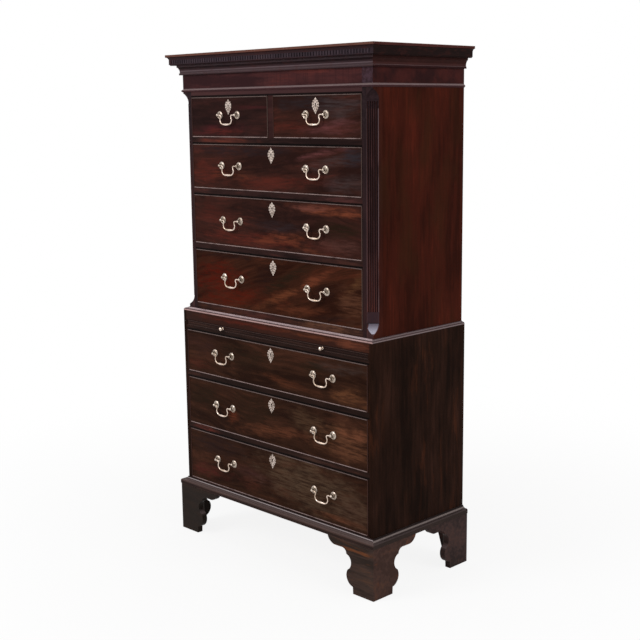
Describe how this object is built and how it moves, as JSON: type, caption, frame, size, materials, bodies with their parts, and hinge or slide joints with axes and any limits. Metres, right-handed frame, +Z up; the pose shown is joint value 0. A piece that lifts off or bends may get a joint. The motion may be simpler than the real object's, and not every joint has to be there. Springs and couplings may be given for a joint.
{
  "type": "chest on chest",
  "caption": "Mahogany chest on chest in two stacked cases: graduated drawers with brass bail handles, a brushing slide, canted fluted corners, a dentil cornice and bracket feet.",
  "frame": {"origin": "on the floor, midway between the left and right extents and midway between the front and back extents", "axes": "+Z up from the floor to the cornice, +X to the right seen from the front, +Y towards the back; the drawer fronts face -Y"},
  "size_m": [1.0624, 0.5078, 1.85],
  "materials": {
    "mahogany_case": "dark polished mahogany",
    "mahogany_drawer": "figured mahogany veneer, polished",
    "mahogany_frieze": "crossbanded mahogany, polished",
    "oak_lining": "bare oak, aged",
    "pine_carcass": "bare pine, aged",
    "brass": "cast brass, worn and lacquered"
  },
  "bodies": {
    "case": {"upper_side_panels": "mahogany_case", "upper_top_and_bottom_boards": "pine_carcass", "upper_backboards": "pine_carcass", "canted_corners": "mahogany_case", "frieze": "mahogany_frieze", "cornice": "mahogany_case", "dentil_course": "mahogany_case", "upper_drawer_rails": "mahogany_case", "upper_dustboards": "pine_carcass", "upper_drawer_guides": "pine_carcass", "lower_side_panels": "mahogany_case", "lower_top_and_bottom_boards": "pine_carcass", "lower_backboards": "pine_carcass", "waist_moulding": "mahogany_case", "lower_drawer_rails": "mahogany_case", "lower_dustboards": "pine_carcass", "base_moulding": "mahogany_case", "bracket_feet_front": "mahogany_case", "bracket_feet_rear": "mahogany_case", "foot_glue_blocks": "pine_carcass"},
    "brushing_slide": {"brushing_slide": "mahogany_drawer", "slide_knobs": "brass"},
    "short_left_drawer": {"short_left_front": "mahogany_drawer", "short_left_lining": "oak_lining", "short_left_brasses": "brass"},
    "short_left_bail": {"short_left_bail": "brass"},
    "short_right_drawer": {"short_right_front": "mahogany_drawer", "short_right_lining": "oak_lining", "short_right_brasses": "brass"},
    "short_right_bail": {"short_right_bail": "brass"},
    "upper_third_drawer": {"upper_third_front": "mahogany_drawer", "upper_third_lining": "oak_lining", "upper_third_brasses": "brass"},
    "upper_third_left_bail": {"upper_third_left_bail": "brass"},
    "upper_third_right_bail": {"upper_third_right_bail": "brass"},
    "upper_second_drawer": {"upper_second_front": "mahogany_drawer", "upper_second_lining": "oak_lining", "upper_second_brasses": "brass"},
    "upper_second_left_bail": {"upper_second_left_bail": "brass"},
    "upper_second_right_bail": {"upper_second_right_bail": "brass"},
    "upper_first_drawer": {"upper_first_front": "mahogany_drawer", "upper_first_lining": "oak_lining", "upper_first_brasses": "brass"},
    "upper_first_left_bail": {"upper_first_left_bail": "brass"},
    "upper_first_right_bail": {"upper_first_right_bail": "brass"},
    "lower_bottom_drawer": {"lower_bottom_front": "mahogany_drawer", "lower_bottom_lining": "oak_lining", "lower_bottom_brasses": "brass"},
    "lower_bottom_left_bail": {"lower_bottom_left_bail": "brass"},
    "lower_bottom_right_bail": {"lower_bottom_right_bail": "brass"},
    "lower_middle_drawer": {"lower_middle_front": "mahogany_drawer", "lower_middle_lining": "oak_lining", "lower_middle_brasses": "brass"},
    "lower_middle_left_bail": {"lower_middle_left_bail": "brass"},
    "lower_middle_right_bail": {"lower_middle_right_bail": "brass"},
    "lower_top_drawer": {"lower_top_front": "mahogany_drawer", "lower_top_lining": "oak_lining", "lower_top_brasses": "brass"},
    "lower_top_left_bail": {"lower_top_left_bail": "brass"},
    "lower_top_right_bail": {"lower_top_right_bail": "brass"}
  },
  "joints": [
    {"name": "brushing_slide_out", "type": "slide", "parent": "case", "child": "brushing_slide", "axis": [0, -1, 0], "range_m": [0, 0.28]},
    {"name": "short_left_drawer_slide", "type": "slide", "parent": "case", "child": "short_left_drawer", "axis": [0, -1, 0], "range_m": [0, 0.36]},
    {"name": "short_left_bail_swing", "type": "hinge", "parent": "short_left_drawer", "child": "short_left_bail", "pos_m": [-0.2255, -0.22165, 1.628], "axis": [-1, 0, 0], "range_deg": [-12, 130]},
    {"name": "short_right_drawer_slide", "type": "slide", "parent": "case", "child": "short_right_drawer", "axis": [0, -1, 0], "range_m": [0, 0.36]},
    {"name": "short_right_bail_swing", "type": "hinge", "parent": "short_right_drawer", "child": "short_right_bail", "pos_m": [0.2255, -0.22165, 1.628], "axis": [-1, 0, 0], "range_deg": [-12, 130]},
    {"name": "upper_third_drawer_slide", "type": "slide", "parent": "case", "child": "upper_third_drawer", "axis": [0, -1, 0], "range_m": [0, 0.36]},
    {"name": "upper_third_left_bail_swing", "type": "hinge", "parent": "upper_third_drawer", "child": "upper_third_left_bail", "pos_m": [-0.22188, -0.22165, 1.0325], "axis": [-1, 0, 0], "range_deg": [-12, 130]},
    {"name": "upper_third_right_bail_swing", "type": "hinge", "parent": "upper_third_drawer", "child": "upper_third_right_bail", "pos_m": [0.22188, -0.22165, 1.0325], "axis": [-1, 0, 0], "range_deg": [-12, 130]},
    {"name": "upper_second_drawer_slide", "type": "slide", "parent": "case", "child": "upper_second_drawer", "axis": [0, -1, 0], "range_m": [0, 0.36]},
    {"name": "upper_second_left_bail_swing", "type": "hinge", "parent": "upper_second_drawer", "child": "upper_second_left_bail", "pos_m": [-0.22188, -0.22165, 1.246], "axis": [-1, 0, 0], "range_deg": [-12, 130]},
    {"name": "upper_second_right_bail_swing", "type": "hinge", "parent": "upper_second_drawer", "child": "upper_second_right_bail", "pos_m": [0.22188, -0.22165, 1.246], "axis": [-1, 0, 0], "range_deg": [-12, 130]},
    {"name": "upper_first_drawer_slide", "type": "slide", "parent": "case", "child": "upper_first_drawer", "axis": [0, -1, 0], "range_m": [0, 0.36]},
    {"name": "upper_first_left_bail_swing", "type": "hinge", "parent": "upper_first_drawer", "child": "upper_first_left_bail", "pos_m": [-0.22188, -0.22165, 1.44575], "axis": [-1, 0, 0], "range_deg": [-12, 130]},
    {"name": "upper_first_right_bail_swing", "type": "hinge", "parent": "upper_first_drawer", "child": "upper_first_right_bail", "pos_m": [0.22188, -0.22165, 1.44575], "axis": [-1, 0, 0], "range_deg": [-12, 130]},
    {"name": "lower_bottom_drawer_slide", "type": "slide", "parent": "case", "child": "lower_bottom_drawer", "axis": [0, -1, 0], "range_m": [0, 0.38]},
    {"name": "lower_bottom_left_bail_swing", "type": "hinge", "parent": "lower_bottom_drawer", "child": "lower_bottom_left_bail", "pos_m": [-0.26585, -0.24165, 0.322], "axis": [-1, 0, 0], "range_deg": [-12, 130]},
    {"name": "lower_bottom_right_bail_swing", "type": "hinge", "parent": "lower_bottom_drawer", "child": "lower_bottom_right_bail", "pos_m": [0.26585, -0.24165, 0.322], "axis": [-1, 0, 0], "range_deg": [-12, 130]},
    {"name": "lower_middle_drawer_slide", "type": "slide", "parent": "case", "child": "lower_middle_drawer", "axis": [0, -1, 0], "range_m": [0, 0.38]},
    {"name": "lower_middle_left_bail_swing", "type": "hinge", "parent": "lower_middle_drawer", "child": "lower_middle_left_bail", "pos_m": [-0.26585, -0.24165, 0.53875], "axis": [-1, 0, 0], "range_deg": [-12, 130]},
    {"name": "lower_middle_right_bail_swing", "type": "hinge", "parent": "lower_middle_drawer", "child": "lower_middle_right_bail", "pos_m": [0.26585, -0.24165, 0.53875], "axis": [-1, 0, 0], "range_deg": [-12, 130]},
    {"name": "lower_top_drawer_slide", "type": "slide", "parent": "case", "child": "lower_top_drawer", "axis": [0, -1, 0], "range_m": [0, 0.38]},
    {"name": "lower_top_left_bail_swing", "type": "hinge", "parent": "lower_top_drawer", "child": "lower_top_left_bail", "pos_m": [-0.26585, -0.24165, 0.7395], "axis": [-1, 0, 0], "range_deg": [-12, 130]},
    {"name": "lower_top_right_bail_swing", "type": "hinge", "parent": "lower_top_drawer", "child": "lower_top_right_bail", "pos_m": [0.26585, -0.24165, 0.7395], "axis": [-1, 0, 0], "range_deg": [-12, 130]}
  ]
}
